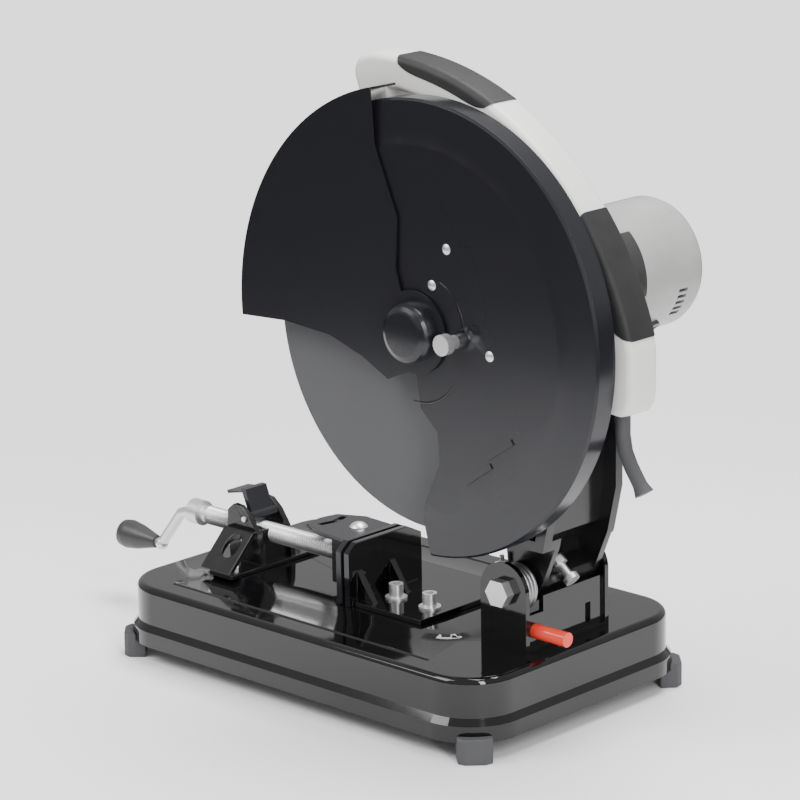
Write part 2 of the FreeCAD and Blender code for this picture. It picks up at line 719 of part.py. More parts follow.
def rot_point(x, y, z):
    """Where a point of the lowered arm stands when the arm is raised."""
    a = math.radians(-SWING)
    dx = x - PIVOT_X
    dz = z - PIVOT_Z
    return (PIVOT_X + dx * math.cos(a) - dz * math.sin(a), y, PIVOT_Z + dx * math.sin(a) + dz * math.cos(a))


def rot_dir():
    a = math.radians(-SWING)
    return (math.cos(a), 0, math.sin(a))


STOP_Y = 5.0
STOP_D = (0.775, 0.0, -0.632)
STOP_HEAD = (202.9, STOP_Y, 127.6)


def stop_rod(r, s0, s1):
    """Cylinder on the stop bolt's axis, measured back from its head."""
    p = V(STOP_HEAD[0] - STOP_D[0] * s1, STOP_Y, STOP_HEAD[2] - STOP_D[2] * s1)
    return Part.makeCylinder(r, s1 - s0, p, V(*STOP_D))


def stop_bolt():
    shank = stop_rod(4.0, 0.0, 40.0)
    head = stop_rod(7.0, -4.0, 1.0)
    return join([shank, head])


def stop_nut(arm):
    p = V(STOP_HEAD[0] - STOP_D[0] * 20, STOP_Y, STOP_HEAD[2] - STOP_D[2] * 20)
    nut = prism(tuple(p), STOP_D, 13, 6)
    return nut.cut(stop_rod(4.0, -5, 60)).cut(arm)


def main_guard():
    t = 2.0
    r = GUARD_R
    rim = -89.4
    back = GUARD_BACK - 2.0
    profile = [(0.01, GUARD_FRONT), (156, GUARD_FRONT), (160, -92.6), (r - 2, rim - 0.8), (r, rim + 1.2), (r, back),
               (r - t, back), (r - t, rim + 1.6), (160, -92.6 + t), (156, GUARD_FRONT + t), (0.01, GUARD_FRONT + t)]
    body = turned(profile, SPIN_X, SPIN_Z, -91.0, 213.0)
    ring = rod_y(SPIN_X, SPIN_Z, 36, GUARD_FRONT, GUARD_FRONT + t)
    body = body.fuse(ring)
    wavy = [(-80, -37), (0, -37), (4, -66), (23, -84), (25, -112), (8, -147), (4, -166), (9, -195), (5, -215),
            (-80, -215)]
    body = body.cut(slab_y([(SPIN_X + x, SPIN_Z + z) for x, z in wavy], -120, -60))
    collar = rod_y(SPIN_X, SPIN_Z, 24.6, -100, GUARD_FRONT)
    body = body.fuse(collar).cut(rod_y(SPIN_X, SPIN_Z, 22, -120, -60))
    bump = cap_head((SPIN_X + 66, GUARD_FRONT, SPIN_Z + 8.4), (0, -1, 0), 8, 1.4)
    ribs = []
    for a, b in (((81, -95), (108, -77)), ((55, -122), (84, -102))):
        d = math.hypot(b[0] - a[0], b[1] - a[1])
        nx = -(b[1] - a[1]) / d * 2.5
        nz = (b[0] - a[0]) / d * 2.5
        pts = [(a[0] - nx, a[1] - nz), (b[0] - nx, b[1] - nz), (b[0] + nx, b[1] + nz), (a[0] + nx, a[1] + nz)]
        ribs.append(slab_y([(SPIN_X + x, SPIN_Z + z) for x, z in pts], GUARD_FRONT - 1.2, GUARD_FRONT))
    body = join([body, bump] + ribs)
    body = body.cut(rod_y(SPIN_X + 44, SPIN_Z - 2, 3.0, -100, -80))
    for x, z in FACE_SCREWS:
        body = body.cut(rod_y(SPIN_X + x, SPIN_Z + z, 2.5, -100, -90))
    return body


FACE_SCREWS = [(36.0, 75.5), (19.0, 42.5), (83.0, -8.4)]


def guard_back_plate():
    y0 = GUARD_BACK - 2.0
    plate = band(SPIN_X, SPIN_Z, 32, GUARD_R, -91, 122, y0, GUARD_BACK)
    ring = ring_y(SPIN_X, SPIN_Z, 56, 32, y0, GUARD_BACK)
    body = join([plate, ring])
    for a in MOUNT_ANGLES:
        x, z = at(SPIN_X, SPIN_Z, 44, a)
        body = body.cut(rod_y(x, z, 2.5, -80, -60))
    return body


MOUNT_ANGLES = (45, 135, 225, 315)


def guard_mount_screws():
    out = []
    for a in MOUNT_ANGLES:
        x, z = at(SPIN_X, SPIN_Z, 44, a)
        head = cap_head((x, GUARD_BACK - 2.0, z), (0, -1, 0), 4.5, 1.6)
        out.append(head.fuse(rod_y(x, z, 2.5, GUARD_BACK - 2.0, GUARD_BACK)).removeSplitter())
    return Part.makeCompound(out)


def guard_screws():
    out = []
    for x, z in FACE_SCREWS:
        head = cap_head((SPIN_X + x, GUARD_FRONT, SPIN_Z + z), (0, -1, 0), 4.5, 1.5)
        out.append(head.fuse(rod_y(SPIN_X + x, SPIN_Z + z, 2.5, GUARD_FRONT, -90)).removeSplitter())
    return Part.makeCompound(out)


def moving_guard():
    y0 = -97.5
    y1 = -96.0
    face = [(-45.5, 202.6), (-42, 155), (-17, 96), (-19.6, 52), (-14, 33), (0, 20), (0, -20), (-8, -36),
            (-30.5, -45.6), (-61, -30), (-99, -17.6), (-153, -13.4), (-207.6, -16), (-230, 0), (-230, 215)]
    sheet = slab_y([(SPIN_X + x, SPIN_Z + z) for x, z in face], y0, y1)
    sheet = sheet.common(rod_y(SPIN_X, SPIN_Z, MOVE_R, y0, y1))
    hub = rod_y(SPIN_X, SPIN_Z, 36, y0, y1)
    rim = band(SPIN_X, SPIN_Z, MOVE_R - 2, MOVE_R, 103.0, 184.4, y0, -66)
    tab = band(SPIN_X, SPIN_Z, MOVE_R - 2, MOVE_R, 101.6, 103.0, -92, -70)
    cup = turned([(0.01, -112), (18, -112), (24, -109), (26.9, -104), (26.9, y1), (24.9, y1), (24.9, -103.5),
                  (22.6, -107.4), (17.4, -110), (0.01, -110)], SPIN_X, SPIN_Z)
    body = join([sheet.cut(rod_y(SPIN_X, SPIN_Z, 24.9, -100, -90)), hub.cut(rod_y(SPIN_X, SPIN_Z, 24.9, -100, -90)),
                 rim, tab, cup])
    return body


def thumb_screw():
    x = SPIN_X + 44
    z = SPIN_Z - 2
    head = rod_y(x, z, 9, -111, -103)
    notches = []
    for i in range(18):
        n = rod_y(x + 9.4, z, 0.9, -112, -102)
        n.rotate(V(x, 0, z), V(0, 1, 0), 20.0 * i)
        notches.append(n)
    head = take(head, notches)
    collar = rod_y(x, z, 6, -103, GUARD_FRONT)
    shank = rod_y(x, z, 3 - RUN, GUARD_FRONT, -86)
    return join([head, collar, shank])


def handle_outline(inset, y0, y1):
    """Solid D-handle outline, shrunk inwards by inset."""
    i = inset
    main = band(GRIP_CX, GRIP_CZ, GRIP_IN + i, GRIP_R - i, 14, 93, y0, y1)
    nose = rod_y(35, 557, 17 - i, y0, y1)
    link = slab_y([(45, 546 + i), (45, 575 - i), (35, 574 - i), (30, 550 + i)], y0, y1)
    post = slab_y([(18 + i, 560), (50 - i, 556), (70 - i, 500), (122 - i, 425), (122 - i, 396 + i), (84 + i, 396 + i),
                   (45 + i, 480)], y0, y1)
    tip = at(GRIP_CX, GRIP_CZ, GRIP_R - i, 14)
    root = at(GRIP_CX, GRIP_CZ, GRIP_IN + i, 14)
    block = slab_y([(272 + i, 306 + i), (tip[0] - 10, 302 + i), (tip[0], 312 + i), tip, root, (276 + i, 343 - i)],
                   y0, y1)
    bridge = slab_y([(196 + i, 306 + i), (296, 306 + i), (296, 343 - i), (196 + i, 343 - i)], y0, y1)
    return join([main, nose, link, post, block, bridge])


GRIP_ANGLES = ((63.4, 85.5), (16.5, 38.0))
TRIG_A0 = 69.0
TRIG_A1 = 79.0


def handle_shell(y0, y1, inner0, inner1, body_cut):
    outer = handle_outline(0.0, y0, y1)
    shell = outer.cut(handle_outline(WALL, inner0, inner1))
    slot = band(GRIP_CX, GRIP_CZ, GRIP_IN - 2, GRIP_IN + 5, TRIG_A0 - 0.6, TRIG_A1 + 0.6, -53, -35)
    shell = take(shell, [slot, body_cut])
    shell = shell.cut(boot_root())
    for a0, a1 in GRIP_ANGLES:
        shell = shell.cut(band(GRIP_CX, GRIP_CZ, 280, 300, a0, a1, y0 - 1, y1 + 1))
    return shell


def rubber_band(a0, a1):
    outer = band(GRIP_CX, GRIP_CZ, 280, 288.6, a0, a1, GRIP_Y0, GRIP_Y1)
    edges = []
    for e in outer.Edges:
        on_side = all(abs(v.Point.y - GRIP_Y0) < 1e-4 or abs(v.Point.y - GRIP_Y1) < 1e-4 for v in e.Vertexes)
        far = all(math.hypot(v.Point.x - GRIP_CX, v.Point.z - GRIP_CZ) > 288 for v in e.Vertexes)
        if on_side and far and e.Length > 60:
            edges.append(e)
    return outer.makeFillet(5.0, edges)


def trigger():
    pad = band(GRIP_CX, GRIP_CZ, 249, 268, TRIG_A0, TRIG_A1, -52.4, -35.6)
    flange = band(GRIP_CX, GRIP_CZ, GRIP_IN + WALL + 0.4, GRIP_IN + WALL + 2.4, TRIG_A0 - 1.4, TRIG_A1 + 1.4, -55, -33)
    return join([pad, flange])


def switch_body():
    return band(GRIP_CX, GRIP_CZ, 273.6, 279.6, 67, 81, -54, -34)


def lock_button():
    x, z = at(GRIP_CX, GRIP_CZ, 269, 60)
    stem = rod_y(x, z, 4.5, -31, -22.5)
    flange = rod_y(x, z, 6.5, -31.5, -29.4)
    return join([stem, flange])


def lock_button_hole():
    x, z = at(GRIP_CX, GRIP_CZ, 269, 60)
    return rod_y(x, z, 4.9, -34, -20)


BOOT_X = 303.0
BOOT_Z = 312.0


def boot_root():
    """Upright top of the boot with the collar that the two shells grip."""
    stem = rod((BOOT_X, GRIP_SPLIT, BOOT_Z - 30), (0, 0, 1), 6.2, 30)
    return join([stem, rod((BOOT_X, GRIP_SPLIT, BOOT_Z - 2), (0, 0, 1), 10.0, 4.0)])


def strain_boot():
    drop = [(0.0, 28.0), (2.5, 42.0), (8.5, 54.0), (18.0, 68.0)]
    pts = [V(BOOT_X + x, GRIP_SPLIT, BOOT_Z - z) for x, z in drop]
    parts = [boot_root()]
    for a, b in zip(pts[:-1], pts[1:]):
        parts.append(Part.makeCylinder(6.2, (b - a).Length, a, b - a))
        parts.append(Part.makeSphere(6.2, a))
    d = pts[-1] - pts[-2]
    parts.append(Part.makeCone(6.2, 8.2, 8.0, pts[-1], d))
    return join(parts)


def shaft_lock_button():
    stem = rod((140, -60, 400), (0, 0, 1), 4.5, 33)
    head = rod((140, -60, 432), (0, 0, 1), 7.0, 5)
    return join([stem, head])


def label_plate():
    return ring_y(MOTOR_X, MOTOR_Z, MOTOR_R + 0.5, MOTOR_R, 20, 76).common(
        box(MOTOR_X + 10, MOTOR_X + 60, 0, 120, MOTOR_Z - 10, MOTOR_Z + 44))


def arm_bolts():
    """Cap screws that pull the gear case down on the arm's pad."""
    out = []
    for x in (112, 200):
        for y in (-30, -16):
            head = rod((x, y, 266), (0, 0, 1), 5.5, 6)
            out.append(head.fuse(rod((x, y, 272), (0, 0, 1), 3.0, 30)).removeSplitter())
    return Part.makeCompound(out)


def build():
    n = NODES
    n["base_pan"] = base_pan()
    n["rubber_feet"] = rubber_feet()
    n["pivot_bracket"] = pivot_bracket()
    n["bracket_bolts"] = hex_bolts(BRACKET_BOLTS, BASE_TOP + 4, 62, 11, 5)
    n["pivot_shaft"] = pivot_shaft()
    n["pivot_nut"] = pivot_nut()
    n["torsion_spring"] = torsion_spring()
    n["fence_plate"] = fence_plate()
    n["fence_washers"] = fence_washers()
    n["fence_bolts"] = fence_bolts()
    n["screw_bracket"] = screw_bracket()
    n["screw_bracket_bolts"] = hex_bolts(NUT_BOLTS, FLOOR + 4, 62, 13, 6)
    low = nuts(BRACKET_BOLTS, BASE_TOP - SHEET, 11, 6).Solids
    high = nuts(FENCE_BOLTS + NUT_BOLTS, FLOOR - SHEET, 13, 7).Solids
    n["base_nuts"] = Part.makeCompound(low + high)
    n["nut_lever"] = nut_lever()
    n["nut_lever_pin"] = nut_lever_pin()
    n["screw_bracket"] = n["screw_bracket"].cut(n["nut_lever_pin"])
    n["vise_screw"] = vise_screw()
    n["crank_handle"] = crank_handle()
    n["crank_knob"] = crank_knob()
    n["jaw_block"] = jaw_block()
    n["jaw_plate"] = jaw_plate()
    n["jaw_pin"] = jaw_pin()
    n["lock_pin"] = lock_pin()
    n["lock_pin_sleeve"] = lock_pin_sleeve()
    arm = arm_casting()
    n["arm_casting"] = arm
    n["stop_bolt"] = stop_bolt()
    n["stop_nut"] = stop_nut(arm)
    n["arm_bolts"] = arm_bolts()
    n["gear_case"] = gear_case().cut(arm_bolts()).cut(rod((140, -60, 398), (0, 0, 1), 4.5 + RUN, 40))
    n["gear_cover"] = gear_cover().cut(arm_bolts())
    n["shaft_lock_button"] = shaft_lock_button()
    n["spindle"] = spindle()
    n["bearings"] = Part.makeCompound(spindle_bearings().Solids + motor_bearings().Solids)
    n["gear_wheel"] = gear_wheel()
    n["inner_flange"] = inner_flange()
    n["outer_flange"] = outer_flange()
    n["clamp_bolt"] = clamp_bolt()
    n["cutting_disc"] = cutting_disc()
    n["armature"] = armature()
    n["commutator"] = commutator()
    n["cooling_fan"] = cooling_fan()
    n["pinion"] = pinion()
    n["field_stator"] = field_stator()
    n["motor_housing"] = motor_housing()
    n["motor_end_cap"] = motor_end_cap()
    n["blank_label"] = label_plate()
    n["carbon_brushes"] = brushes()
    n["brush_caps"] = brush_caps()
    n["main_guard"] = main_guard()
    n["guard_back_plate"] = guard_back_plate()
    n["guard_screws"] = Part.makeCompound(guard_mount_screws().Solids + guard_screws().Solids)
    n["moving_guard"] = moving_guard()
    n["thumb_screw"] = thumb_screw()
    case = join([n["gear_case"].fuse(n["gear_cover"]), case_outline(CASE_Y0, MOTOR_Y0)])
    n["handle_left"] = handle_shell(GRIP_Y0, GRIP_SPLIT, GRIP_Y0 + WALL, GRIP_SPLIT, case)
    n["handle_right"] = handle_shell(GRIP_SPLIT, GRIP_Y1, GRIP_SPLIT, GRIP_Y1 - WALL, case).cut(lock_button_hole())
    n["top_grip"] = rubber_band(*GRIP_ANGLES[0])
    n["rear_grip"] = rubber_band(*GRIP_ANGLES[1])
    n["trigger"] = trigger()
    n["switch_body"] = switch_body()
    n["lock_button"] = lock_button()
    n["strain_boot"] = strain_boot()


def centred(shapes):
    """Move everything so the middle of the footprint stands on the origin."""
    box_all = FreeCAD.BoundBox()
    for shape in shapes.values():
        box_all.add(shape.optimalBoundingBox(True, False))
    shift = V(-(box_all.XMin + box_all.XMax) / 2.0, -(box_all.YMin + box_all.YMax) / 2.0, -box_all.ZMin)
    for shape in shapes.values():
        shape.translate(shift)
    return shift


build()
SHIFT = centred(NODES)
os.makedirs("parts", exist_ok=True)
for name, shape in NODES.items():
    shape.exportStep("parts/" + name + ".step")
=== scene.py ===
import bmesh
import bpy
import json
import math
from mathutils import Matrix, Vector


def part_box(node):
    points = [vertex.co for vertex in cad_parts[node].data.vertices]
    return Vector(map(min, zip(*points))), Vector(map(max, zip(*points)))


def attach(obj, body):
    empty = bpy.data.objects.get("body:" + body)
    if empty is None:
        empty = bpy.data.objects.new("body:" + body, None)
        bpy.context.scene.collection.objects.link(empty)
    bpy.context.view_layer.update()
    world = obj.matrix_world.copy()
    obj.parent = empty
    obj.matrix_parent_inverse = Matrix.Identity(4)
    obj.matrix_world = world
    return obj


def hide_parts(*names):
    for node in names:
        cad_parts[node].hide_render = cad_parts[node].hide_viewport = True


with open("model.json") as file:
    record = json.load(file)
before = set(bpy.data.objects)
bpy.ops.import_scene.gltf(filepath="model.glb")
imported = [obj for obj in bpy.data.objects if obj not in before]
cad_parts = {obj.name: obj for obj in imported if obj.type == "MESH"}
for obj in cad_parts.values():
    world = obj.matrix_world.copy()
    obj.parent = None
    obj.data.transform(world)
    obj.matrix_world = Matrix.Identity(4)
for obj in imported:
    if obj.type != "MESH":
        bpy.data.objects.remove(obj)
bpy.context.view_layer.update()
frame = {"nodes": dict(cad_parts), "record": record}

# Camera: it stands on the guard side, higher than the head, and looks at a point below the disc's middle.
# The long lens keeps the base's edges nearly parallel, and the side vector carries a very slight roll.
camera_reach = 2.8858
cam_data = bpy.data.cameras.new("camera")
cam_data.lens = 147.83
cam_data.clip_end = 50.0
camera = bpy.data.objects.new("camera", cam_data)
bpy.context.scene.collection.objects.link(camera)
disc_lo, disc_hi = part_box("cutting_disc")
disc_mid = (Vector(disc_lo) + Vector(disc_hi)) / 2
away = Vector((0.6673, -0.6981, 0.2595)).normalized()
side = Vector((0.7229, 0.6910, -0.0199)).normalized()
up = away.cross(side).normalized()
target = disc_mid + Vector((-0.0790, 0.0531, -0.0910))
place = Matrix((side, up, away)).transposed().to_4x4()
place.translation = target + away * camera_reach
camera.matrix_world = place
bpy.context.scene.camera = camera

# Studio: a round pale floor that fades out into a white surround, so that no horizon shows.
# A key box lights the guard, a narrow box at the side streaks the rim, and a top box lights the deck.
look_at = Vector((0, 0, 0.25))
world = bpy.data.worlds.new("surround")
world.use_nodes = True
sky = world.node_tree
sky_coord = sky.nodes.new("ShaderNodeTexCoord")
sky_split = sky.nodes.new("ShaderNodeSeparateXYZ")
sky_ramp = sky.nodes.new("ShaderNodeMapRange")
sky_ramp.inputs["From Min"].default_value = -0.02
sky_ramp.inputs["From Max"].default_value = 0.12
sky_ramp.inputs["To Min"].default_value = 0.02
sky_ramp.inputs["To Max"].default_value = 0.62
sky_path = sky.nodes.new("ShaderNodeLightPath")
sky_seen = sky.nodes.new("ShaderNodeMix")
sky_seen.inputs["B"].default_value = 1.9
sky.links.new(sky_coord.outputs["Generated"], sky_split.inputs["Vector"])
sky.links.new(sky_split.outputs["Z"], sky_ramp.inputs["Value"])
sky.links.new(sky_ramp.outputs["Result"], sky_seen.inputs["A"])
sky_open = sky.nodes.new("ShaderNodeMath")
sky_open.operation = "MAXIMUM"
sky_open.use_clamp = True
sky.links.new(sky_path.outputs["Is Camera Ray"], sky_open.inputs[0])
sky.links.new(sky_path.outputs["Transparent Depth"], sky_open.inputs[1])
sky.links.new(sky_open.outputs["Value"], sky_seen.inputs["Factor"])
sky.links.new(sky_seen.outputs["Result"], sky.nodes["Background"].inputs["Strength"])
sky.nodes["Background"].inputs["Color"].default_value = (1, 1, 1, 1)
bpy.context.scene.world = world
for name, where, size_x, size_y, power in (
    ("key_box", (-0.9, -1.6, 2.0), 1.6, 1.2, 40.0),
    ("side_strip", (1.9, -0.9, 1.0), 0.35, 1.8, 34.0),
    ("top_box", (0.2, 0.5, 2.4), 1.8, 1.2, 80.0),
):
    data = bpy.data.lights.new(name, "AREA")
    data.shape = "RECTANGLE"
    data.size = size_x
    data.size_y = size_y
    data.energy = power
    lamp = bpy.data.objects.new(name, data)
    lamp.location = where
    lamp.rotation_euler = (look_at - Vector(where)).to_track_quat("-Z", "Y").to_euler()
    bpy.context.scene.collection.objects.link(lamp)
bm = bmesh.new()
bmesh.ops.create_circle(bm, cap_ends=True, segments=128, radius=1.2)
floor_mesh = bpy.data.meshes.new("floor")
bm.to_mesh(floor_mesh)
bm.free()
floor = bpy.data.objects.new("floor", floor_mesh)
bpy.context.scene.collection.objects.link(floor)
floor_mat = bpy.data.materials.new("floor_pale")
floor_mat.use_nodes = True
floor_shader = floor_mat.node_tree.nodes["Principled BSDF"]
floor_shader.inputs["Base Color"].default_value = (0.93, 0.93, 0.93, 1.0)
floor_shader.inputs["Roughness"].default_value = 0.7
floor_mesh.materials.append(floor_mat)
fade_coord = floor_mat.node_tree.nodes.new("ShaderNodeTexCoord")
fade_length = floor_mat.node_tree.nodes.new("ShaderNodeVectorMath")
fade_length.operation = "LENGTH"
fade = floor_mat.node_tree.nodes.new("ShaderNodeMapRange")
fade.interpolation_type = "SMOOTHSTEP"
fade.inputs["From Min"].default_value = 0.50
fade.inputs["From Max"].default_value = 1.15
fade.inputs["To Min"].default_value = 1.0
fade.inputs["To Max"].default_value = 0.0
floor_mat.node_tree.links.new(fade_coord.outputs["Object"], fade_length.inputs[0])
floor_mat.node_tree.links.new(fade_length.outputs["Value"], fade.inputs["Value"])
floor_mat.node_tree.links.new(fade.outputs["Result"], floor_shader.inputs["Alpha"])

# Shared effects: grain, grit, mottle, the slight waves of sprayed paint, and the lines of brushed metal.
# Each group gives a value and a bumped normal, which the finishes below mix in with their own strengths.
for group_name, scale, detail, stretch, low, high in (
    ("fine_grain", 900.0, 6.0, (1, 1, 1), 0.0, 1.0),
    ("grit", 300.0, 1.0, (1, 1, 1), 0.56, 0.74),
    ("soft_mottle", 22.0, 4.0, (1, 1, 1), 0.3, 0.7),
    ("wave_skin", 140.0, 2.0, (1, 1, 1), 0.0, 1.0),
    ("brushed", 260.0, 5.0, (1, 14, 1), 0.2, 0.8),
):
    group = bpy.data.node_groups.new(group_name, "ShaderNodeTree")
    group.interface.new_socket("Height", in_out="INPUT", socket_type="NodeSocketFloat")
    group.interface.new_socket("Low", in_out="INPUT", socket_type="NodeSocketFloat")
    group.interface.new_socket("High", in_out="INPUT", socket_type="NodeSocketFloat")
    group.interface.new_socket("Value", in_out="OUTPUT", socket_type="NodeSocketFloat")
    group.interface.new_socket("Normal", in_out="OUTPUT", socket_type="NodeSocketVector")
    ins = group.nodes.new("NodeGroupInput")
    outs = group.nodes.new("NodeGroupOutput")
    coord = group.nodes.new("ShaderNodeTexCoord")
    mapping = group.nodes.new("ShaderNodeMapping")
    mapping.inputs["Scale"].default_value = stretch
    noise = group.nodes.new("ShaderNodeTexNoise")
    noise.inputs["Scale"].default_value = scale
    noise.inputs["Detail"].default_value = detail
    spread = group.nodes.new("ShaderNodeMapRange")
    spread.inputs["From Min"].default_value = low
    spread.inputs["From Max"].default_value = high
    bump = group.nodes.new("ShaderNodeBump")
    bump.inputs["Distance"].default_value = 0.0004
    group.links.new(coord.outputs["Object"], mapping.inputs["Vector"])
    group.links.new(mapping.outputs["Vector"], noise.inputs["Vector"])
    group.links.new(noise.outputs["Fac"], spread.inputs["Value"])
    group.links.new(ins.outputs["Low"], spread.inputs["To Min"])
    group.links.new(ins.outputs["High"], spread.inputs["To Max"])
    group.links.new(ins.outputs["Height"], bump.inputs["Strength"])
    group.links.new(noise.outputs["Fac"], bump.inputs["Height"])
    group.links.new(spread.outputs["Result"], outs.inputs["Value"])
    group.links.new(bump.outputs["Normal"], outs.inputs["Normal"])

# Finishes: gloss and cast black paint, rubber, steels, plastics, pale paint, the bonded abrasive and copper.
# Each has two tones broken up by a mottle, or by grit on the disc, and a roughness between two values.
mirror_level = {"black_gloss": 0.11, "base_gloss": 0.35, "rubber": 0.15, "abrasive": 0.05, "grip_rubber": 0.2}
for slot_name, tone_a, tone_b, metal, rough_lo, rough_hi, coat, effect, height in (
    ("black_gloss", (0.0022, 0.0022, 0.0026), (0.0036, 0.0036, 0.0040),
     0.0, 0.05, 0.11, 0.0, "wave_skin", 0.03),
    ("base_gloss", (0.0030, 0.0030, 0.0034), (0.0044, 0.0044, 0.0048),
     0.0, 0.04, 0.09, 0.35, "wave_skin", 0.03),
    ("cast_black", (0.004, 0.004, 0.0045), (0.009, 0.009, 0.010), 0.0, 0.16, 0.30, 0.2, "wave_skin", 0.25),
    ("rubber", (0.012, 0.012, 0.0125), (0.020, 0.020, 0.0205), 0.0, 0.55, 0.75, 0.0, "fine_grain", 0.5),
    ("grip_rubber", (0.022, 0.022, 0.023), (0.034, 0.034, 0.035), 0.0, 0.42, 0.60, 0.0, "fine_grain", 0.35),
    ("bright_steel", (0.70, 0.70, 0.71), (0.82, 0.82, 0.83), 1.0, 0.14, 0.34, 0.0, "brushed", 0.12),
    ("spring_steel", (0.16, 0.16, 0.17), (0.26, 0.26, 0.27), 1.0, 0.28, 0.45, 0.0, "brushed", 0.2),
    ("red_plastic", (0.62, 0.020, 0.012), (0.74, 0.035, 0.020), 0.0, 0.22, 0.34, 0.2, "wave_skin", 0.1),
    ("black_plastic", (0.006, 0.006, 0.0065), (0.012, 0.012, 0.0125),
     0.0, 0.32, 0.48, 0.0, "fine_grain", 0.25),
    ("light_plastic", (0.34, 0.325, 0.305), (0.39, 0.375, 0.355), 0.0, 0.34, 0.46, 0.0, "fine_grain", 0.12),
    ("light_paint", (0.33, 0.33, 0.325), (0.38, 0.38, 0.375), 0.0, 0.26, 0.40, 0.1, "wave_skin", 0.2),
    ("abrasive", (0.0030, 0.0030, 0.0034), (0.095, 0.095, 0.098), 0.0, 0.70, 0.95, 0.0, "grit", 1.0),
    ("cast_alloy", (0.48, 0.48, 0.485), (0.60, 0.60, 0.605), 1.0, 0.35, 0.55, 0.0, "wave_skin", 0.5),
    ("core_steel", (0.20, 0.20, 0.21), (0.34, 0.34, 0.35), 1.0, 0.35, 0.55, 0.0, "brushed", 0.4),
    ("copper", (0.62, 0.30, 0.18), (0.78, 0.42, 0.26), 1.0, 0.20, 0.38, 0.0, "brushed", 0.2),
    ("carbon", (0.020, 0.020, 0.020), (0.040, 0.040, 0.040), 0.0, 0.5, 0.7, 0.0, "fine_grain", 0.4),
):
    mat = bpy.data.materials.new(slot_name)
    mat.use_nodes = True
    nodes = mat.node_tree.nodes
    links = mat.node_tree.links
    shader = nodes["Principled BSDF"]
    shader.inputs["Metallic"].default_value = metal
    shader.inputs["Coat Weight"].default_value = coat
    shader.inputs["Specular IOR Level"].default_value = mirror_level.get(slot_name, 0.4)
    shader.inputs["Coat Roughness"].default_value = 0.06
    surface = nodes.new("ShaderNodeGroup")
    surface.node_tree = bpy.data.node_groups[effect]
    surface.inputs["Height"].default_value = height
    surface.inputs["Low"].default_value = rough_lo
    surface.inputs["High"].default_value = rough_hi
    tint = nodes.new("ShaderNodeGroup")
    tint.node_tree = bpy.data.node_groups["soft_mottle" if slot_name != "abrasive" else "grit"]
    tint.inputs["Low"].default_value = 0.0
    tint.inputs["High"].default_value = 1.0
    blend = nodes.new("ShaderNodeMix")
    blend.data_type = "RGBA"
    blend.inputs["A"].default_value = (*tone_a, 1.0)
    blend.inputs["B"].default_value = (*tone_b, 1.0)
    links.new(tint.outputs["Value"], blend.inputs["Factor"])
    links.new(blend.outputs["Result"], shader.inputs["Base Color"])
    links.new(surface.outputs["Value"], shader.inputs["Roughness"])
    links.new(surface.outputs["Normal"], shader.inputs["Normal"])

# Carried-over pieces: pressed, cast, turned and moulded parts, each kept as it was drawn.
# Each gets its finish, and those with broken edges get a small rounded one; flat faces are kept flat.
slot_of = {s["node"]: s["material_slot"] for s in frame["record"]["subparts"]}
special = {
    "base_pan": "base_gloss", "pivot_bracket": "base_gloss", "fence_plate": "base_gloss",
    "arm_casting": "cast_black", "screw_bracket": "cast_black", "jaw_block": "cast_black",
    "motor_housing": "light_paint", "motor_end_cap": "light_paint", "top_grip": "grip_rubber",
    "rear_grip": "grip_rubber", "gear_case": "light_paint", "gear_cover": "light_paint",
}
round_by = {
    "base_pan": 0.0016, "pivot_bracket": 0.0008, "fence_plate": 0.0007, "screw_bracket": 0.0012,
    "jaw_plate": 0.0007, "jaw_block": 0.0015, "arm_casting": 0.0025, "gear_case": 0.002, "gear_cover": 0.002,
    "rubber_feet": 0.0015, "main_guard": 0.0006, "moving_guard": 0.0005, "motor_end_cap": 0.0006,
    "pivot_shaft": 0.0008, "pivot_nut": 0.0008, "fence_bolts": 0.0006, "thumb_screw": 0.0004,
    "crank_knob": 0.0008, "nut_lever": 0.0006, "lock_pin_sleeve": 0.0008, "stop_nut": 0.0005,
    "stop_bolt": 0.0007, "brush_caps": 0.0006, "screw_bracket_bolts": 0.0006,
}
for node_name, part in frame["nodes"].items():
    part.data.materials.clear()
    part.data.materials.append(bpy.data.materials[special.get(node_name, slot_of[node_name])])
    part.data.shade_smooth()
    weld = part.modifiers.new("weld", "WELD")
    weld.merge_threshold = 0.00001
    if node_name in round_by:
        edge = part.modifiers.new("edge", "BEVEL")
        edge.width = round_by[node_name]
        edge.segments = 3
        edge.limit_method = "ANGLE"
        edge.angle_limit = math.radians(38)
    smooth = part.modifiers.new("flat", "EDGE_SPLIT")
    smooth.split_angle = math.radians(32)
    even = part.modifiers.new("even", "WEIGHTED_NORMAL")
    even.weight = 100
    even.keep_sharp = True

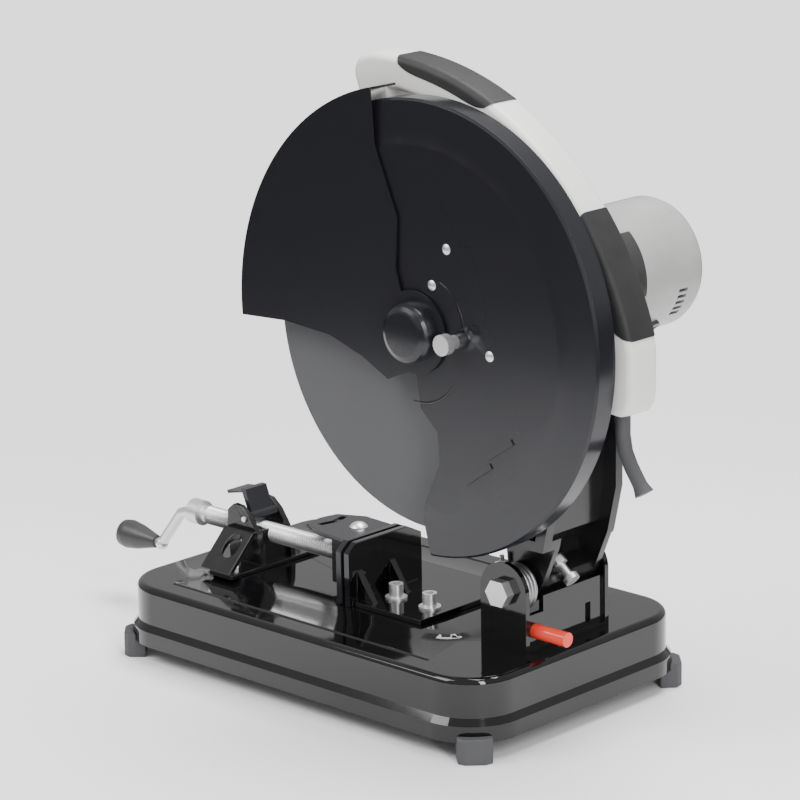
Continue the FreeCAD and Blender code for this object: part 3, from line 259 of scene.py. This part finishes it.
# Handle shells: two moulded halves of one bar, which arches over the disc and meets on a fine seam.
# The bar follows an arc about a point forward of the disc's middle, from the front post to the rear bridge.
saw_x = disc_mid.x - 0.1185
saw_y = disc_mid.y + 0.0750
arc_x = 0.047
arc_z = 0.288
arc_outer = 0.288
arc_inner = 0.258
nose_x = 0.035
nose_z = 0.557
nose_r = 0.017
shell_round = 0.0095
for shell_name, y_open, y_seam in (("handle_left", -0.0620, -0.0440), ("handle_right", -0.0260, -0.0440)):
    outline = []
    for degrees in range(200, 92, -12):
        a = math.radians(degrees)
        outline.append((nose_x + nose_r * math.cos(a), nose_z + nose_r * math.sin(a)))
    for k in range(49):
        a = math.radians(91.5 - k * 77.5 / 48)
        outline.append((arc_x + arc_outer * math.cos(a), arc_z + arc_outer * math.sin(a)))
    outline += [(0.3264, 0.322), (0.3245, 0.311), (0.3195, 0.3048), (0.311, 0.3022)]
    outline += [(0.286, 0.3045), (0.272, 0.306)]
    outline += [(0.206, 0.306), (0.206, 0.343), (0.274, 0.343), (0.288, 0.345)]
    for k in range(45):
        a = math.radians(14 + k * 73.5 / 44)
        outline.append((arc_x + arc_inner * math.cos(a), arc_z + arc_inner * math.sin(a)))
    outline += [(0.0585, 0.532), (0.070, 0.500), (0.122, 0.425)]
    outline += [(0.122, 0.409), (0.090, 0.402), (0.045, 0.480)]
    bm = bmesh.new()
    ring = [bm.verts.new((x + saw_x, y_seam + saw_y, z)) for x, z in outline]
    face = bm.faces.new(ring)
    grown = bmesh.ops.extrude_face_region(bm, geom=[face])
    moved = [g for g in grown["geom"] if isinstance(g, bmesh.types.BMVert)]
    bmesh.ops.translate(bm, verts=moved, vec=(0, y_open - y_seam, 0))
    cap = [f for f in bm.faces if all(v in moved for v in f.verts)][0]
    bmesh.ops.recalc_face_normals(bm, faces=bm.faces[:])
    bmesh.ops.bevel(bm, geom=list(cap.edges), offset=shell_round, segments=8, profile=0.5, affect="EDGES",
                    clamp_overlap=True, material=-1)
    bmesh.ops.recalc_face_normals(bm, faces=bm.faces[:])
    mesh = bpy.data.meshes.new(shell_name + "_shell")
    bm.to_mesh(mesh)
    bm.free()
    mesh.shade_smooth()
    mesh.set_sharp_from_angle(angle=math.radians(50))
    piece = bpy.data.objects.new(shell_name + "_shell", mesh)
    bpy.context.scene.collection.objects.link(piece)
    mesh.materials.append(bpy.data.materials["light_plastic"])
    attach(piece, "head")
    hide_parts(shell_name)

# Rubber grips: two soft pads moulded over the outer side of the bar, one on top and one at the rear.
# They stand a little proud of the shells, with rounded rims, and are deepest away from their ends.
pad_outer = 0.2889
pad_end = 0.2820
pad_round = 0.0098
pad_width = 0.0374
rim_radius = 0.2885
for grip_name, a0, a1, inner in (
    ("top_grip", 63.4, 85.5, 0.2762),
    ("rear_grip", 16.0, 38.4, 0.2700),
):
    outline = []
    for k in range(25):
        a = math.radians(a0 + (a1 - a0) * k / 24)
        outline.append((arc_x + pad_outer * math.cos(a), arc_z + pad_outer * math.sin(a)))
    for k in range(25):
        a = math.radians(a1 - 0.8 - (a1 - a0 - 1.6) * k / 24)
        dip = inner + (pad_end - inner) * (abs(k - 12) / 12.0) ** 6
        outline.append((arc_x + dip * math.cos(a), arc_z + dip * math.sin(a)))
    bm = bmesh.new()
    ring = [bm.verts.new((x + saw_x, -0.0627 + saw_y, z)) for x, z in outline]
    face = bm.faces.new(ring)
    grown = bmesh.ops.extrude_face_region(bm, geom=[face])
    moved = [g for g in grown["geom"] if isinstance(g, bmesh.types.BMVert)]
    bmesh.ops.translate(bm, verts=moved, vec=(0, pad_width, 0))
    caps = [f for f in bm.faces if len(f.verts) > 10]
    rims = [e for f in caps for e in f.edges
            if all(math.hypot(v.co.x - saw_x - arc_x, v.co.z - arc_z) > rim_radius for v in e.verts)]
    bmesh.ops.recalc_face_normals(bm, faces=bm.faces[:])
    bmesh.ops.bevel(bm, geom=rims, offset=pad_round, segments=8, profile=0.5, affect="EDGES",
                    clamp_overlap=True, material=-1)
    bmesh.ops.recalc_face_normals(bm, faces=bm.faces[:])
    mesh = bpy.data.meshes.new(grip_name + "_pad")
    bm.to_mesh(mesh)
    bm.free()
    mesh.shade_smooth()
    mesh.set_sharp_from_angle(angle=math.radians(50))
    piece = bpy.data.objects.new(grip_name + "_pad", mesh)
    bpy.context.scene.collection.objects.link(piece)
    mesh.materials.append(bpy.data.materials["grip_rubber"])
    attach(piece, "head")
    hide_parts(grip_name)

# Guard pressings: raised lines in the steel of the main guard, painted black.
# One follows the edge of its raised area, and two are arcs round the hub; each tapers at both ends.
tube_sides = 8
for line_name, y_rel, thick, points in (
    ("raised_line", -0.0935, 0.0008, [(0.064, 0.138), (0.083, 0.127), (0.100, 0.111), (0.114, 0.0945)]),
    ("hub_arc", -0.0940, 0.0012, [(0.0275, 0.047), (0.041, 0.038), (0.051, 0.023), (0.0545, 0.006)]),
    ("hub_arc_low", -0.0940, 0.0013,
     [(-0.004, -0.0605), (0.013, -0.0600), (0.031, -0.0520), (0.0435, -0.0390)]),
):
    bm = bmesh.new()
    cuts = 24
    rings = []
    for k in range(cuts + 1):
        s = k / cuts * (len(points) - 1)
        j = min(int(s), len(points) - 2)
        f = s - j
        p0 = points[max(j - 1, 0)]
        p1 = points[j]
        p2 = points[j + 1]
        p3 = points[min(j + 2, len(points) - 1)]
        at = []
        for c in (0, 1):
            at.append(0.5 * (2 * p1[c] + (p2[c] - p0[c]) * f
                             + (2 * p0[c] - 5 * p1[c] + 4 * p2[c] - p3[c]) * f ** 2
                             + (3 * p1[c] - p0[c] - 3 * p2[c] + p3[c]) * f ** 3))
        slope = [p2[0] - p1[0], p2[1] - p1[1]]
        length = math.hypot(*slope)
        nx = -slope[1] / length
        nz = slope[0] / length
        taper = thick * math.sin(math.pi * (0.06 + 0.88 * k / cuts)) ** 0.5
        ring = []
        for q in range(tube_sides):
            ang = 2 * math.pi * q / tube_sides
            ring.append(bm.verts.new((disc_mid.x + at[0] + nx * taper * math.cos(ang),
                                      saw_y + y_rel + 0.6 * taper * math.sin(ang),
                                      disc_mid.z + at[1] + nz * taper * math.cos(ang))))
        rings.append(ring)
    for r0, r1 in zip(rings[:-1], rings[1:]):
        for q in range(tube_sides):
            bm.faces.new((r0[q], r0[(q + 1) % tube_sides], r1[(q + 1) % tube_sides], r1[q]))
    bm.faces.new(rings[0])
    bm.faces.new(rings[-1])
    bmesh.ops.recalc_face_normals(bm, faces=bm.faces[:])
    mesh = bpy.data.meshes.new(line_name)
    bm.to_mesh(mesh)
    bm.free()
    mesh.shade_smooth()
    piece = bpy.data.objects.new(line_name, mesh)
    bpy.context.scene.collection.objects.link(piece)
    mesh.materials.append(bpy.data.materials["base_gloss"])
    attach(piece, "head")
